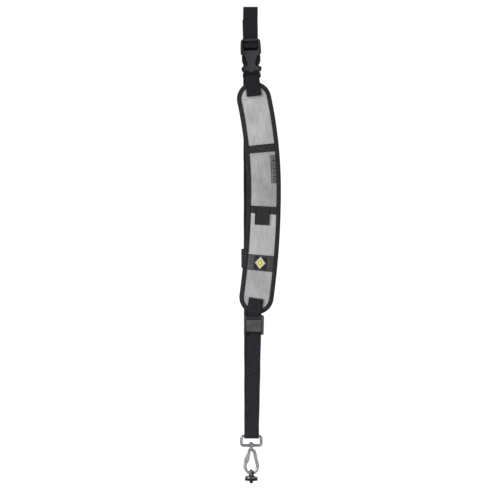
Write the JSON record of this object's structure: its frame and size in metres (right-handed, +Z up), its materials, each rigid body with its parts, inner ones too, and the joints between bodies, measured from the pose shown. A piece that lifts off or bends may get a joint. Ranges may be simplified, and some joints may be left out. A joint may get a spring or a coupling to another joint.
{
  "type": "camera sling strap",
  "caption": "Closed-loop sling strap with a curved padded shoulder section, side-release buckle, cam stoppers, swivel snap hook and a threaded stud fastener.",
  "frame": {"origin": "under the middle of the webbing's top fold, where a peg carries the hanging strap", "axes": "+Z up along the hanging strap, the front faces -Y, +X to the right seen from the front"},
  "size_m": [0.0747, 0.0294, 0.8107],
  "materials": {
    "webbing": "ribbed black nylon webbing",
    "tape": "black grosgrain tape",
    "grey_fabric": "light grey woven fabric",
    "foam": "closed-cell foam",
    "backing": "black mesh backing",
    "plastic": "satin black moulded plastic",
    "stopper_plastic": "satin dark grey moulded plastic",
    "steel": "satin steel",
    "black_metal": "black oxide",
    "rubber": "matte black rubber",
    "label": "plain woven label",
    "patch": "woven patch"
  },
  "bodies": {
    "strap": {"main_webbing": "webbing", "buckle_female": "plastic", "buckle_male": "plastic", "pad_top_tab": "webbing", "pad_foam": "foam", "pad_backing": "backing", "front_panel_1": "grey_fabric", "front_panel_2": "grey_fabric", "front_panel_3": "grey_fabric", "front_panel_4": "grey_fabric", "edge_binding": "tape", "upper_cross_band": "tape", "lower_cross_band": "tape", "emblem_band": "webbing", "emblem_patch": "patch", "side_label": "label"},
    "left_arm": {"buckle_arm_left": "plastic"},
    "right_arm": {"buckle_arm_right": "plastic"},
    "pocket_flap": {"pocket_tab": "webbing"},
    "front_stopper": {"front_stopper_housing": "stopper_plastic", "front_lever_pin": "steel"},
    "front_lever": {"front_cam_lever": "stopper_plastic"},
    "back_stopper": {"back_stopper_housing": "stopper_plastic", "back_lever_pin": "steel"},
    "back_lever": {"back_cam_lever": "stopper_plastic"},
    "loop": {"swivel_loop": "steel"},
    "hook": {"swivel_stem": "steel", "hook_body": "steel", "gate_pin": "steel"},
    "gate": {"hook_gate": "steel", "gate_spring": "steel"},
    "ring": {"d_ring": "black_metal"},
    "fastener": {"fastener_hub": "steel", "rubber_washer": "rubber", "threaded_stud": "black_metal"}
  },
  "joints": [
    {"name": "left_arm_squeeze", "type": "hinge", "parent": "strap", "child": "left_arm", "pos_m": [-0.00991, -0.005, -0.10352], "axis": [0, 1, 0], "range_deg": [0, 8], "stiffness_Nm_per_rad": 0.3},
    {"name": "right_arm_squeeze", "type": "hinge", "parent": "strap", "child": "right_arm", "pos_m": [0.01067, -0.005, -0.1027], "axis": [0, -1, 0], "range_deg": [0, 8], "stiffness_Nm_per_rad": 0.3},
    {"name": "pocket_flap_lift", "type": "hinge", "parent": "strap", "child": "pocket_flap", "pos_m": [0.01914, -0.0105, -0.34151], "axis": [-0.9997, 0, 0.0231], "range_deg": [0, 92]},
    {"name": "front_stopper_slide", "type": "slide", "parent": "strap", "child": "front_stopper", "axis": [-0.0221, 0.0357, -0.9991], "range_m": [0, 0.12]},
    {"name": "front_lever_open", "type": "hinge", "parent": "front_stopper", "child": "front_lever", "pos_m": [0.00475, -0.01476, -0.52776], "axis": [-0.9998, -0.0008, 0.022], "range_deg": [0, 100]},
    {"name": "back_stopper_slide", "type": "slide", "parent": "strap", "child": "back_stopper", "axis": [-0.003, 0.0024, 1], "range_m": [-0.25, 0.24]},
    {"name": "back_lever_open", "type": "hinge", "parent": "back_stopper", "child": "back_lever", "pos_m": [-0.00026, 0.00831, -0.41471], "axis": [1, 0, 0.003], "range_deg": [0, 100]},
    {"name": "loop_swing", "type": "hinge", "parent": "strap", "child": "loop", "pos_m": [0, 0, -0.7293], "axis": [1, 0, 0], "range_deg": [-80, 80]},
    {"name": "hook_swivel", "type": "hinge", "parent": "loop", "child": "hook", "pos_m": [0, 0, -0.7452], "axis": [0, 0, 1], "continuous": true},
    {"name": "gate_open", "type": "hinge", "parent": "hook", "child": "gate", "pos_m": [-0.0037, 0, -0.7542], "axis": [0, -1, 0], "range_deg": [0, 28], "stiffness_Nm_per_rad": 0.05, "springref_deg": -11.46},
    {"name": "ring_swing", "type": "hinge", "parent": "hook", "child": "ring", "pos_m": [0, 0, -0.79245], "axis": [1, 0, 0], "range_deg": [-30, 30]},
    {"name": "fastener_tilt", "type": "hinge", "parent": "ring", "child": "fastener", "pos_m": [0, 0, -0.79785], "axis": [0.515, -0.8572, 0], "range_deg": [-20, 20]}
  ]
}
